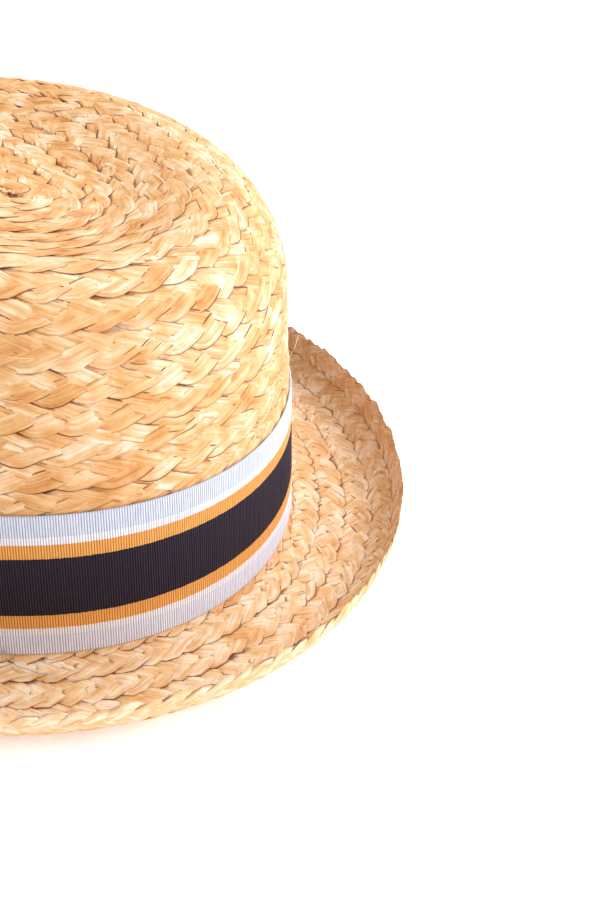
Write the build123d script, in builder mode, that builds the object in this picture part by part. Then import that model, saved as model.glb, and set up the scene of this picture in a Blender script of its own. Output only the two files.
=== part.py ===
"""Boater-style hat sewn from raffia braid, with a striped ribbon, a flat bow and a sweatband.

The crown and brim are one long braid, sewn round and round from the middle of the crown top
to the rim. Each turn of that braid is a course, and each course is its own ring of straw.

Frame: millimetres, +Z up, front of the hat towards -Y, the wearer's left towards +X.
The origin is on the surface that the hat stands on, under the middle of the crown.
"""

import math
import os

from build123d import *

# ---- straw braid -------------------------------------------------------------------------
STRAW_THICKNESS = 2.4       # two crossed layers of flattened raffia
COURSE_GAP = 0.05           # clearance between a course and the next one
FLARE = 0.5                 # how far a side course's lower edge stands out over the next one

# ---- crown -------------------------------------------------------------------------------
CROWN_HALF_WIDTH = 79.5     # outer face of the crown wall where it meets the brim
CROWN_HALF_LENGTH = 102.8
CROWN_HEIGHT = 93.5         # brim's upper face to the crest of the crown
WALL_TAPER = 4.0            # how far the wall leans in from the brim to the shoulder
SHOULDER_RADIUS = 18.0      # rounding between the wall and the crown top
SHOULDER_FOLD = 5.6         # level width of the straw where it turns over the shoulder
SHOULDER_EXTRA = 0.4        # the braid puckers a little thicker where it starts to turn
SIDE_COURSES = 10
TIP_COURSES = 6
TIP_PITCH = 7.0             # visible width of a course on the crown top
TIP_DIP = 6.0               # how far the crown top is pressed in at its middle

# ---- brim --------------------------------------------------------------------------------
# Level distances are from the foot of the crown wall, heights from where the hat stands.
FLAT_COURSES = 3
BRIM_PITCH = 8.0            # visible width of a flat brim course
BRIM_STEP = 0.25            # each flat course lies this much lower than the one inside it
TURN_WALL = 3.7             # level width of the course that turns up from the flat ones
TURN_LOW_EDGE = 25.5        # distance of its lower outer edge
TURN_HIGH_EDGE = 32.0
TURN_TOP = 7.9
RIM_WALL = 2.8
RIM_LOW_EDGE = 31.6         # distance of the rim's lower outer edge
RIM_HIGH_EDGE = 34.0
RIM_TOP = 16.1

# ---- wire along the rim ------------------------------------------------------------------
WIRE_DIAMETER = 0.9
WIRE_SIDES = 12             # the round section is made with this many flats
SLEEVE_DIAMETER = 1.5
SLEEVE_HALF_ANGLE = 4.5     # half the stretch of rim that the joining sleeve covers, degrees

# ---- ribbon and bow ----------------------------------------------------------------------
RIBBON_WIDTH = 38.0
RIBBON_THICKNESS = 0.6
RIBBON_GAP = 0.2            # between the flared straw and the ribbon, and between layers
RIBBON_LOW = 0.3            # ribbon's lower edge above the brim
BOW_INSET = 1.0             # the bow is this much narrower than the ribbon at each edge
BOW_LENGTH = 62.0           # front to back
BOW_THICKNESS = 2.8         # a flattened loop of ribbon
TAIL_LENGTH = 76.0
TAIL_NOTCH = 8.0
KEEPER_WIDTH = 13.0
TACK_COUNT = 5
FIRST_TACK = 23.0           # degrees from the wearer's left towards the back
TACK_DIAMETER = 0.8
TACK_LENGTH = 2.6

# ---- sweatband ---------------------------------------------------------------------------
SWEATBAND_WIDTH = 30.0
SWEATBAND_THICKNESS = 0.9
SWEATBAND_GAP = 0.3
SWEATBAND_BOTTOM = 1.2      # clearance between the band's lower edge and the table
JOIN_TAPE_WIDTH = 16.0
JOIN_TAPE_THICKNESS = 0.7
STITCH_COUNT = 60
STITCH_SIZE = (5.0, 0.3, 0.6)
STITCH_MARGIN = 2.0         # height of the stitches above the sweatband's lower edge
SEAM_THREAD = 0.35          # thickness of the chain of sewing thread inside each seam
SEAM_DROP = 1.2             # the chain's lower edge lies this far below its seam
SEAM_WIDTH = 0.8

# ---- worked out --------------------------------------------------------------------------
BRIM_TOP = STRAW_THICKNESS + 2 * BRIM_STEP
WALL_HEIGHT = CROWN_HEIGHT - SHOULDER_RADIUS
SIDE_PITCH = WALL_HEIGHT / SIDE_COURSES
CREST = BRIM_TOP + CROWN_HEIGHT
SHOULDER_RISE = SHOULDER_RADIUS * math.sin(math.pi / 4)
SHOULDER_LEAN = SHOULDER_RADIUS - SHOULDER_RISE
TIP_EDGE = WALL_TAPER + SHOULDER_RADIUS + SHOULDER_FOLD + COURSE_GAP
RIBBON_HIGH = RIBBON_LOW + RIBBON_WIDTH
RIBBON_FACE = FLARE + RIBBON_GAP + RIBBON_THICKNESS     # ribbon's outer face, off the wall
CUT_REACH = 20.0            # how far the blocks that trim a piece reach past it on each side

os.makedirs("parts", exist_ok=True)
pieces = []


def keep(builder, name):
    """Label a finished piece and write it as its own file."""
    builder.part.label = name
    pieces.append(builder.part)
    export_step(builder.part, f"parts/{name}.step")


def oval(offset):
    """Semi-axes of the crown oval, moved inward by offset (outward when it is negative)."""
    return CROWN_HALF_WIDTH - offset, CROWN_HALF_LENGTH - offset


def wall_offset(height):
    """Inward lean of the wall's outer face at a height above the brim."""
    return WALL_TAPER * height / WALL_HEIGHT


def shrink(axes, amount):
    """Both semi-axes made shorter by one amount."""
    return axes[0] - amount, axes[1] - amount


def sloping_ring(low_z, low_outer, low_wall, high_z, high_outer, high_wall):
    """A ring that climbs, with level edges: its wall is low_wall thick below, high_wall above."""
    with BuildPart() as ring:
        with BuildSketch(Plane.XY.offset(low_z)):
            Ellipse(*low_outer)
        with BuildSketch(Plane.XY.offset(high_z)):
            Ellipse(*high_outer)
        loft()
        with BuildSketch(Plane.XY.offset(low_z)):
            Ellipse(*shrink(low_outer, low_wall))
        with BuildSketch(Plane.XY.offset(high_z)):
            Ellipse(*shrink(high_outer, high_wall))
        loft(mode=Mode.SUBTRACT)
    return ring


def flat_ring(top_z, outer_axes, inner_axes):
    """A course that lies flat, as on the brim and the crown top."""
    with BuildPart() as ring:
        with BuildSketch(Plane.XY.offset(top_z - STRAW_THICKNESS)):
            Ellipse(*outer_axes)
            Ellipse(*inner_axes, mode=Mode.SUBTRACT)
        extrude(amount=STRAW_THICKNESS)
    return ring


def wall_sleeve(low, high, face, thickness):
    """A ring that follows the crown wall from height low to high above the brim.

    Its outer face stands face outside the straw, and is inside it when face is negative.
    """
    return sloping_ring(
        BRIM_TOP + low,
        oval(wall_offset(low) - face),
        thickness,
        BRIM_TOP + high,
        oval(wall_offset(high) - face),
        thickness,
    )


def oval_point(axes, degrees):
    """Point of an oval, counted from the wearer's left towards the back."""
    angle = math.radians(degrees)
    return axes[0] * math.cos(angle), axes[1] * math.sin(angle)


def oval_heading(axes, degrees):
    """Direction of the oval's edge at that point, in degrees."""
    angle = math.radians(degrees)
    return math.degrees(math.atan2(axes[1] * math.cos(angle), -axes[0] * math.sin(angle)))


# ==== crown wall: courses stacked from the brim up, each one flared over the one below =====
for course in range(SIDE_COURSES):
    foot = course * SIDE_PITCH
    head = foot + SIDE_PITCH - COURSE_GAP
    side_course = sloping_ring(
        BRIM_TOP + foot,
        oval(wall_offset(foot) - FLARE),
        STRAW_THICKNESS + FLARE,
        BRIM_TOP + head,
        oval(wall_offset(head)),
        STRAW_THICKNESS,
    )
    keep(side_course, f"side_course_{course + 1:02d}")

# ==== shoulder: two courses that turn over the edge of the crown top =======================
shoulder_lower = sloping_ring(
    BRIM_TOP + WALL_HEIGHT,
    oval(WALL_TAPER),
    STRAW_THICKNESS,
    BRIM_TOP + WALL_HEIGHT + SHOULDER_RISE - COURSE_GAP,
    oval(WALL_TAPER + SHOULDER_LEAN),
    STRAW_THICKNESS + SHOULDER_EXTRA,
)
keep(shoulder_lower, "shoulder_course_lower")

shoulder_upper = sloping_ring(
    BRIM_TOP + WALL_HEIGHT + SHOULDER_RISE,
    oval(WALL_TAPER + SHOULDER_LEAN),
    SHOULDER_FOLD,
    CREST,
    oval(WALL_TAPER + SHOULDER_RADIUS),
    SHOULDER_FOLD,
)
keep(shoulder_upper, "shoulder_course_upper")

# ==== crown top: courses that step down into the dip, and the coil that they start from ====
for course in range(TIP_COURSES):
    outer = TIP_EDGE + course * TIP_PITCH
    inner = outer + TIP_PITCH - COURSE_GAP
    sink = TIP_DIP * math.sin(math.pi / 2 * min(1.0, (course + 0.5) / (TIP_COURSES - 2)))
    keep(flat_ring(CREST - sink, oval(outer), oval(inner)), f"tip_course_{course + 1}")

with BuildPart() as start_coil:
    with BuildSketch(Plane.XY.offset(CREST - TIP_DIP - STRAW_THICKNESS)):
        Ellipse(*oval(TIP_EDGE + TIP_COURSES * TIP_PITCH))
    extrude(amount=STRAW_THICKNESS)
keep(start_coil, "tip_start_coil")

# ==== brim: flat courses outward from the crown; the first one runs in under the wall ======
for course in range(FLAT_COURSES):
    inner = course * BRIM_PITCH if course else -STRAW_THICKNESS
    outer = (course + 1) * BRIM_PITCH - COURSE_GAP
    top = BRIM_TOP - course * BRIM_STEP
    keep(flat_ring(top, oval(-outer), oval(-inner)), f"brim_course_{course + 1}")

# ==== turned-up brim: a course that climbs from the last flat one, and the steep rim =======
turned = sloping_ring(
    STRAW_THICKNESS + COURSE_GAP,
    oval(-TURN_LOW_EDGE),
    TURN_WALL,
    TURN_TOP,
    oval(-TURN_HIGH_EDGE),
    TURN_WALL,
)
keep(turned, f"brim_course_{FLAT_COURSES + 1}")

rim = sloping_ring(
    TURN_TOP + COURSE_GAP,
    oval(-RIM_LOW_EDGE),
    RIM_WALL,
    RIM_TOP,
    oval(-RIM_HIGH_EDGE),
    RIM_WALL,
)
keep(rim, "rim_course")

# ==== wire that holds the rim's curve, and the sleeve that joins its ends at the back ======
wire_axes = oval(RIM_WALL / 2 - RIM_HIGH_EDGE)
wire_plane = Plane.XY.offset(RIM_TOP + SLEEVE_DIAMETER / 2 + COURSE_GAP)
with BuildPart() as brim_wire:
    with BuildLine(wire_plane):
        wire_path = EllipticalCenterArc((0, 0), *wire_axes, start_angle=0, arc_size=360)
    with BuildSketch(Plane(origin=wire_path @ 0, z_dir=wire_path % 0)):
        RegularPolygon(WIRE_DIAMETER / 2, WIRE_SIDES)
    sweep()
keep(brim_wire, "brim_wire")

with BuildPart() as wire_sleeve:
    with BuildLine(wire_plane):
        sleeve_path = EllipticalCenterArc(
            (0, 0), *wire_axes, start_angle=90 - SLEEVE_HALF_ANGLE, arc_size=2 * SLEEVE_HALF_ANGLE
        )
    with BuildSketch(Plane(origin=sleeve_path @ 0, z_dir=sleeve_path % 0)):
        Circle(SLEEVE_DIAMETER / 2)
        Circle(WIRE_DIAMETER / 2 + COURSE_GAP, mode=Mode.SUBTRACT)
    sweep()
keep(wire_sleeve, "wire_sleeve")

# ==== ribbon round the foot of the crown ===================================================
keep(wall_sleeve(RIBBON_LOW, RIBBON_HIGH, RIBBON_FACE, RIBBON_THICKNESS), "ribbon_band")

# ==== flat bow on the wearer's left: tails, a flattened loop, and the keeper round it ======
tail_face = RIBBON_FACE + RIBBON_GAP + RIBBON_THICKNESS
keeper_back_face = tail_face + RIBBON_GAP + RIBBON_THICKNESS
loop_face = keeper_back_face + RIBBON_GAP + BOW_THICKNESS
keeper_face = loop_face + RIBBON_GAP + RIBBON_THICKNESS
bow_low = RIBBON_LOW + BOW_INSET
bow_high = RIBBON_HIGH - BOW_INSET
bow_middle = BRIM_TOP + (bow_low + bow_high) / 2
side_x = CROWN_HALF_WIDTH

tail_sleeve = wall_sleeve(bow_low, bow_high, tail_face, RIBBON_THICKNESS)
loop_sleeve = wall_sleeve(bow_low, bow_high, loop_face, BOW_THICKNESS)
loop_hollow = wall_sleeve(
    bow_low - 1,
    bow_high + 1,
    loop_face - RIBBON_THICKNESS,
    BOW_THICKNESS - 2 * RIBBON_THICKNESS,
)
keeper_wrap = RIBBON_GAP + RIBBON_THICKNESS
keeper_sleeve = wall_sleeve(
    bow_low - keeper_wrap,
    bow_high + keeper_wrap,
    keeper_face,
    keeper_face - keeper_back_face + RIBBON_THICKNESS,
)
keeper_hollow = wall_sleeve(
    bow_low - RIBBON_GAP,
    bow_high + RIBBON_GAP,
    keeper_face - RIBBON_THICKNESS,
    keeper_face - keeper_back_face - RIBBON_THICKNESS,
)

with BuildPart() as bow_tails:
    add(tail_sleeve.part)
    with Locations((side_x, 0, bow_middle)):
        Box(2 * CUT_REACH, TAIL_LENGTH, 2 * RIBBON_WIDTH, mode=Mode.INTERSECT)
    for end in (-1, 1):
        with BuildSketch(Plane.YZ.offset(side_x - CUT_REACH)):
            with BuildLine():
                Polyline(
                    (end * TAIL_LENGTH / 2, bow_middle - RIBBON_WIDTH / 2),
                    (end * (TAIL_LENGTH / 2 - TAIL_NOTCH), bow_middle),
                    (end * TAIL_LENGTH / 2, bow_middle + RIBBON_WIDTH / 2),
                    close=True,
                )
            make_face()
        extrude(amount=2 * CUT_REACH, mode=Mode.SUBTRACT)
keep(bow_tails, "bow_tails")

core_length = BOW_LENGTH - 2 * RIBBON_THICKNESS
with BuildPart() as loop_core:
    add(loop_hollow.part)
    with Locations((side_x, 0, bow_middle)):
        Box(2 * CUT_REACH, core_length, 2 * RIBBON_WIDTH, mode=Mode.INTERSECT)

with BuildPart() as bow_loops:
    add(loop_sleeve.part)
    with Locations((side_x, 0, bow_middle)):
        Box(2 * CUT_REACH, BOW_LENGTH, 2 * RIBBON_WIDTH, mode=Mode.INTERSECT)
    add(loop_core.part, mode=Mode.SUBTRACT)
keep(bow_loops, "bow_loops")

with BuildPart() as bow_keeper:
    add(keeper_sleeve.part)
    add(keeper_hollow.part, mode=Mode.SUBTRACT)
    with Locations((side_x, 0, bow_middle)):
        Box(2 * CUT_REACH, KEEPER_WIDTH, 2 * RIBBON_WIDTH, mode=Mode.INTERSECT)
keep(bow_keeper, "bow_keeper")

# ==== thread tacks that hold the ribbon's lower edge to the straw ==========================
tack_axes = oval(-RIBBON_FACE - COURSE_GAP - TACK_DIAMETER / 2)
tack_z = BRIM_TOP + RIBBON_LOW + TACK_LENGTH / 2
with BuildPart() as ribbon_tacks:
    for tack in range(TACK_COUNT):
        x, y = oval_point(tack_axes, FIRST_TACK + tack * 360 / TACK_COUNT)
        with Locations((x, y, tack_z)):
            Cylinder(TACK_DIAMETER / 2, TACK_LENGTH)
keep(ribbon_tacks, "ribbon_tacks")

# ==== sweatband inside the foot of the crown ===============================================
band_face = -(STRAW_THICKNESS + SWEATBAND_GAP)
band_low = SWEATBAND_BOTTOM - BRIM_TOP
band_high = band_low + SWEATBAND_WIDTH
keep(wall_sleeve(band_low, band_high, band_face, SWEATBAND_THICKNESS), "sweatband")

tape_face = band_face - SWEATBAND_THICKNESS - COURSE_GAP
tape_sleeve = wall_sleeve(band_low, band_high, tape_face, JOIN_TAPE_THICKNESS)
with BuildPart() as join_tape:
    add(tape_sleeve.part)
    with Locations((0, CROWN_HALF_LENGTH, BRIM_TOP)):
        Box(JOIN_TAPE_WIDTH, 2 * CUT_REACH, 3 * SWEATBAND_WIDTH, mode=Mode.INTERSECT)
keep(join_tape, "sweatband_join_tape")

stitch_height = band_low + STITCH_MARGIN
stitch_axes = oval(wall_offset(stitch_height) - tape_face + STITCH_SIZE[1] / 2 + COURSE_GAP)
with BuildPart() as stitches:
    for stitch in range(STITCH_COUNT):
        turn = (stitch + 0.5) * 360 / STITCH_COUNT
        x, y = oval_point(stitch_axes, turn)
        clear_of_tape = abs(x) > JOIN_TAPE_WIDTH / 2 + STITCH_SIZE[0] or y < 0
        along = oval_heading(stitch_axes, turn)
        if clear_of_tape:
            with Locations(Location((x, y, BRIM_TOP + stitch_height), (0, 0, along))):
                Box(*STITCH_SIZE)
keep(stitches, "sweatband_stitches")

# ==== sewing thread: one chain inside each crown seam that the sweatband leaves bare =======
thread_face = -(STRAW_THICKNESS + COURSE_GAP)
bare_seams = [course * SIDE_PITCH for course in range(1, SIDE_COURSES)]
bare_seams = [seam - SEAM_DROP for seam in bare_seams if seam - SEAM_DROP > band_high]
chains = [wall_sleeve(low, low + SEAM_WIDTH, thread_face, SEAM_THREAD) for low in bare_seams]
with BuildPart() as seam_thread:
    for chain in chains:
        add(chain.part)
keep(seam_thread, "seam_thread")

for piece in pieces:
    box = piece.bounding_box()
    print(
        f"{piece.label:24s} {len(piece.solids()):3d} solids"
        f" {box.size.X:7.1f} {box.size.Y:7.1f} {box.size.Z:6.1f} {piece.volume:9.0f}"
    )
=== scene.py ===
"""Boater-style hat of raffia braid with a striped grosgrain ribbon: the visual model.

The crown and brim are one three-strand plait, wound from the middle of the crown top to the rim.
Each turn of it stands for one course of the CAD model. Lengths are millimetres until a mesh is made.
"""

import math

import bpy
import numpy as np
from mathutils import Matrix, Vector


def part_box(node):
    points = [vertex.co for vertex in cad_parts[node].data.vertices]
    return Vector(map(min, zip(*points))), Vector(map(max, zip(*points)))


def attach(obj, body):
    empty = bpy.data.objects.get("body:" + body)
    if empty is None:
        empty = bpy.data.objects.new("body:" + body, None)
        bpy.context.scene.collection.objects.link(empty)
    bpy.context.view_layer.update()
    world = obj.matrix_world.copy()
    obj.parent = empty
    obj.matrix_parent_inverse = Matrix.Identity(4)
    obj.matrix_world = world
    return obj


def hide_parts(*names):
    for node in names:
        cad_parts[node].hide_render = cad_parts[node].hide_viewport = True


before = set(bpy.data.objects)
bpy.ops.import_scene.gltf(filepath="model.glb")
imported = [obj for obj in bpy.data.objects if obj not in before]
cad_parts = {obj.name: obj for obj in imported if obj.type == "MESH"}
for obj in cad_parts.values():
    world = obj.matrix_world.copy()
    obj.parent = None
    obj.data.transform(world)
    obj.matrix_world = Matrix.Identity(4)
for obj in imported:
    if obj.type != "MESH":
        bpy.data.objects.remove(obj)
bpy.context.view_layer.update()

MM = 0.001
rng = np.random.default_rng(1907)


def cad_box(node):
    """Lowest and highest corner of a CAD node, in millimetres."""
    low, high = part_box(node)
    return np.array(low) / MM, np.array(high) / MM


# ---- sizes read from the CAD model ---------------------------------------------------------
STRAW = 2.4                                   # thickness of the CAD straw
FLARE = 0.5                                   # a side course's lower edge stands out this much
foot_low, foot_high = cad_box("side_course_01")
_, crest_high = cad_box("shoulder_course_upper")
_, dip_high = cad_box("tip_start_coil")
ribbon_low, ribbon_high = cad_box("ribbon_band")
band_low, band_high = cad_box("sweatband")
HALF_WIDTH = foot_high[0] - FLARE             # crown wall's outer face at its foot
HALF_LENGTH = foot_high[1] - FLARE
WALL_FOOT = foot_low[2]
CREST = crest_high[2]
DIP = CREST - dip_high[2]
WALL_TAPER = 4.0                              # how far the wall leans in, up to the shoulder

# ---- braid ---------------------------------------------------------------------------------
BRAID_HALF = 4.65                             # half the plait's width
SWING = 2.3                                   # how far a strand's middle swings to each side
LIFT = 0.22                                   # how far a strand rises and dips where strands cross
STRAND_WIDTH = 5.3
STRAND_THICKNESS = 0.26
STRAND_DOME = 0.07
ROW_TILT = 0.045                              # outer edge of a row lies over the next row
STEP = 1.2                                    # spacing of cross-sections along a strand
STRAW_INSET = 0.3                             # the plait's middle lies this far inside the CAD face
SHOULDER_RADIUS = 24.0
WALL_TOP = CREST - SHOULDER_RADIUS
RIM_RADIUS = 14.0
RIM_TURN = math.radians(83)
RIM_START = 18.5                              # width of the brim that stays flat
RIM_END = 1.5                                 # straight part above the rim's curl
RIM_WAVE = 0.8                                # the rim stands higher at the sides than at the ends
CROWN_SLOPE = 4.3                             # the crown rises towards the back and sinks in front
CROWN_WAVE = 2.2                              # it stands higher at the sides than at the ends
BRIM_PITCH = 7.75


# ==== geometry helpers ======================================================================
def smoothstep(x):
    x = np.clip(x, 0, 1)
    return x * x * (3 - 2 * x)


def slow_noise(position, spacing):
    """A smooth random curve between -1 and 1, with a new value about every spacing."""
    position = np.asarray(position, float) / spacing
    knots = rng.uniform(-1, 1, int(position.max() - position.min()) + 4)
    position = position - position.min()
    index = position.astype(int)
    part = smoothstep(position - index)
    return knots[index] * (1 - part) + knots[index + 1] * part


def unit(vectors):
    return vectors / np.linalg.norm(vectors, axis=-1, keepdims=True)


def make_mesh(name, points, quads, attributes=None, caps=()):
    """A smooth-shaded mesh object from points in millimetres and four-cornered faces."""
    mesh = bpy.data.meshes.new(name)
    faces = np.asarray(quads, np.int32).reshape(-1, 4)
    cap_sizes = [len(cap) for cap in caps]
    loops = np.concatenate([faces.ravel()] + [np.asarray(cap, np.int32) for cap in caps])
    sizes = np.array([4] * len(faces) + cap_sizes, np.int32)
    starts = np.concatenate([[0], np.cumsum(sizes)[:-1]]).astype(np.int32)
    mesh.vertices.add(len(points))
    mesh.vertices.foreach_set("co", (np.asarray(points) * MM).astype(np.float32).ravel())
    mesh.loops.add(len(loops))
    mesh.loops.foreach_set("vertex_index", loops)
    mesh.polygons.add(len(sizes))
    mesh.polygons.foreach_set("loop_start", starts)
    mesh.polygons.foreach_set("use_smooth", np.ones(len(sizes), bool))
    mesh.update(calc_edges=True)
    for key, values in (attributes or {}).items():
        values = np.asarray(values, np.float32)
        if values.ndim == 2:
            mesh.attributes.new(key, "FLOAT_VECTOR", "POINT").data.foreach_set("vector", values.ravel())
        else:
            mesh.attributes.new(key, "FLOAT", "POINT").data.foreach_set("value", values)
    piece = bpy.data.objects.new(name, mesh)
    bpy.context.scene.collection.objects.link(piece)
    return piece


def finish_piece(piece, material, slot, *nodes):
    """Give a piece its material, and hide the CAD nodes it stands for."""
    piece.data.materials.append(material)
    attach(piece, "root")
    if nodes:
        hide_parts(*nodes)
    return piece


def tubes(runs, radius, sides=6, taper=True, closed=False):
    """Points and faces of round threads that follow the given lines."""
    points, quads, base = [], [], 0
    angles = np.arange(sides) * 2 * math.pi / sides
    for run in runs:
        run = np.asarray(run, float)
        ahead = np.roll(run, -1, 0) - np.roll(run, 1, 0) if closed else np.gradient(run, axis=0)
        along = unit(ahead)
        guide = np.where(np.abs(along[:, 2:3]) > 0.8, [[1.0, 0, 0]], [[0, 0, 1.0]])
        side = unit(np.cross(along, guide))
        other = np.cross(side, along)
        width = np.full(len(run), float(radius))
        if taper and not closed:
            width[[0, -1]] *= 0.3
        ring = (
            run[:, None]
            + width[:, None, None] * np.cos(angles)[None, :, None] * side[:, None]
            + width[:, None, None] * np.sin(angles)[None, :, None] * other[:, None]
        )
        points.append(ring.reshape(-1, 3))
        count = len(run)
        rows = np.arange(count if closed else count - 1)
        for k in range(sides):
            a, b = rows * sides + k, rows * sides + (k + 1) % sides
            after = (rows + 1) % count * sides
            quads.append(base + np.stack([a, b, after + (k + 1) % sides, after + k], 1))
        base += count * sides
    return np.concatenate(points), np.concatenate(quads)


# ==== the hat's surface =====================================================================
CORNER = 2.2                                   # radius between the wall and the brim
BRIM_DROP = 1.15                               # the plait's middle on the brim, below the wall's foot


def profile():
    """Half-section of the straw's middle surface: plan offset outward from the wall's foot, and z.

    It runs from the middle of the crown top, over the shoulder, down the wall and out to the rim.
    """
    half = STRAW_INSET
    plan, height = [], []
    shoulder = WALL_TAPER + SHOULDER_RADIUS
    for offset in np.arange(HALF_WIDTH, shoulder, -0.5):
        sunk = np.clip((offset - shoulder) / 34.0, 0, 1)
        plan.append(-offset)
        height.append(CREST - half - DIP * math.sin(math.pi / 2 * sunk) ** 1.3)
    for angle in np.linspace(0, math.pi / 2, 24):
        plan.append(-shoulder + (SHOULDER_RADIUS - half) * math.sin(angle))
        height.append(CREST - SHOULDER_RADIUS + (SHOULDER_RADIUS - half) * math.cos(angle))
    for part in np.linspace(0, 1, 80)[1:]:
        plan.append(-(WALL_TAPER + half) + WALL_TAPER * part)
        height.append(WALL_TOP + (WALL_FOOT + CORNER - BRIM_DROP - WALL_TOP) * part)
    for angle in np.linspace(0, math.pi / 2, 8)[1:]:
        plan.append(-half + CORNER * (1 - math.cos(angle)))
        height.append(WALL_FOOT - BRIM_DROP + CORNER * (1 - math.sin(angle)))
    for part in np.linspace(0, 1, 24)[1:]:
        plan.append(CORNER - half + (RIM_START - CORNER + half) * part)
        height.append(WALL_FOOT - BRIM_DROP)
    for angle in np.linspace(0, RIM_TURN, 24)[1:]:
        plan.append(RIM_START + RIM_RADIUS * math.sin(angle))
        height.append(WALL_FOOT - BRIM_DROP + RIM_RADIUS * (1 - math.cos(angle)))
    plan.append(plan[-1] + RIM_END * math.cos(RIM_TURN))
    height.append(height[-1] + RIM_END * math.sin(RIM_TURN))
    plan, height = np.array(plan), np.array(height)
    run = np.concatenate([[0], np.cumsum(np.hypot(np.diff(plan), np.diff(height)))])
    return run, plan, height


RUN, PLAN, HEIGHT = profile()
RUN_END = RUN[-1]
RUN_BRIM = np.interp(CORNER - STRAW_INSET, PLAN, RUN)
RUN_CURL = np.interp(RIM_START, PLAN, RUN)


def quadrant(half_width, half_length, oval_share, parts):
    """A quarter of a course's plan line, from the side to the end, in steps of equal length.

    It blends the long round-ended slot of the plait's first turns into the crown's oval.
    """
    fine = np.linspace(0, math.pi / 2, 241)
    ellipse = np.stack([half_width * np.cos(fine), half_length * np.sin(fine)], 1)
    straight = max(half_length - half_width, 0.0)
    slot_run = np.linspace(0, straight + half_width * math.pi / 2, 241)
    turn = np.clip((slot_run - straight) / max(half_width, 1e-6), 0, math.pi / 2)
    slot = np.stack(
        [half_width * np.cos(turn), np.minimum(slot_run, straight) + half_width * np.sin(turn)], 1
    )
    lines = []
    for line in (ellipse, slot):
        length = np.concatenate([[0], np.cumsum(np.hypot(*np.diff(line, axis=0).T))])
        wanted = np.linspace(0, length[-1], parts + 1)
        lines.append(np.stack([np.interp(wanted, length, line[:, i]) for i in (0, 1)], 1))
    return lines[0] * oval_share + lines[1] * (1 - oval_share)


PARTS = 240
GRID_STEP = 0.5
grid_run = np.arange(-2, RUN_END + 8, GRID_STEP)


def surface_grid():
    """The straw's middle surface as points, by run along the half-section and by turn."""
    rows = []
    for run in grid_run:
        inside = min(max(run, 0.02), RUN_END)
        plan = np.interp(inside, RUN, PLAN)
        z = np.interp(inside, RUN, HEIGHT)
        if run > RUN_END:
            plan += (run - RUN_END) * math.cos(RIM_TURN)
            z += (run - RUN_END) * math.sin(RIM_TURN)
        share = float(smoothstep(inside / 46.0))
        quarter = quadrant(HALF_WIDTH + plan, HALF_LENGTH + plan, share, PARTS)
        x, y = quarter[:-1, 0], quarter[:-1, 1]
        back_x, back_y = quarter[:0:-1, 0], quarter[:0:-1, 1]
        ring_x = np.concatenate([x, -back_x, -x, back_x])
        ring_y = np.concatenate([y, back_y, -y, -back_y])
        rim = RIM_WAVE * np.clip((run - RUN_CURL) / (RUN_END - RUN_CURL), 0, 1.2)
        crown = max(z - 30.0, 0.0) / 60.0
        fade = float(smoothstep(run / 50.0))
        wave = np.cos(2 * np.arctan2(ring_y * HALF_WIDTH, ring_x * HALF_LENGTH))
        tilt = crown * (CROWN_SLOPE * ring_y / 100 + CROWN_WAVE * fade * wave)
        rows.append(np.stack([ring_x, ring_y, z + rim * wave + tilt], 1))
    return np.array(rows)


GRID = surface_grid()
grid_ahead = np.roll(GRID, -1, 1) - np.roll(GRID, 1, 1)
GRID_NORMALS = np.cross(np.gradient(GRID, axis=0), grid_ahead) + [0, 0, 1e-9]
GRID_NORMALS = unit(GRID_NORMALS)


def sample(grid, turn, run):
    """Values of a grid over the straw's surface, between its points."""
    column = np.mod(turn, 1.0) * 4 * PARTS
    c0 = column.astype(int) % (4 * PARTS)
    c1 = (c0 + 1) % (4 * PARTS)
    fc = (column - np.floor(column))[..., None]
    row = np.clip((run - grid_run[0]) / GRID_STEP, 0, len(grid_run) - 1.001)
    r0 = row.astype(int)
    fr = (row - r0)[..., None]
    low = grid[r0, c0] * (1 - fc) + grid[r0, c1] * fc
    high = grid[r0 + 1, c0] * (1 - fc) + grid[r0 + 1, c1] * fc
    return low * (1 - fr) + high * fr


def surface(turn, run):
    """Points on the straw's middle surface. turn counts from the wearer's left towards the back."""
    return sample(GRID, turn, run)


# ==== the line of the plait =================================================================
COIL_RUN = 9.85
CROWN_ROWS = 19
crown_pitch = (RUN_BRIM - 0.6 - COIL_RUN) / CROWN_ROWS
crown_rows = [COIL_RUN + crown_pitch * (i + 0.5) for i in range(CROWN_ROWS)]
rim_row = RUN_END - BRAID_HALF
brim_rows = [rim_row - BRIM_PITCH * i for i in (4, 3, 2, 1)]
ROWS = crown_rows + brim_rows + [rim_row]
TAIL = 0.1                                     # the plait's end runs this far past the last turn

knots = [(-0.5, 0.0), (1.0, COIL_RUN)]
for number, run in enumerate(ROWS, start=1):
    level_part = 0.3 * min(max((number - 3) / 9, 0.01), 1)
    knots += [(number + 0.5 - level_part, run), (number + 0.5 + level_part, run)]
knot_turn, knot_run = np.array(knots).T
LAST_TURN = len(ROWS) + 1 + TAIL

fine_turn = np.arange(-0.5, LAST_TURN, 1 / 2400)
fine_run = np.interp(fine_turn, knot_turn, knot_run)
window = np.hanning(161)
padded_run = np.pad(fine_run, 80, mode="edge")
fine_run = np.convolve(padded_run, window / window.sum(), mode="valid")
fine_line = surface(fine_turn + 0.25, fine_run)
fine_length = np.concatenate([[0], np.cumsum(np.linalg.norm(np.diff(fine_line, axis=0), axis=1))])

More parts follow.
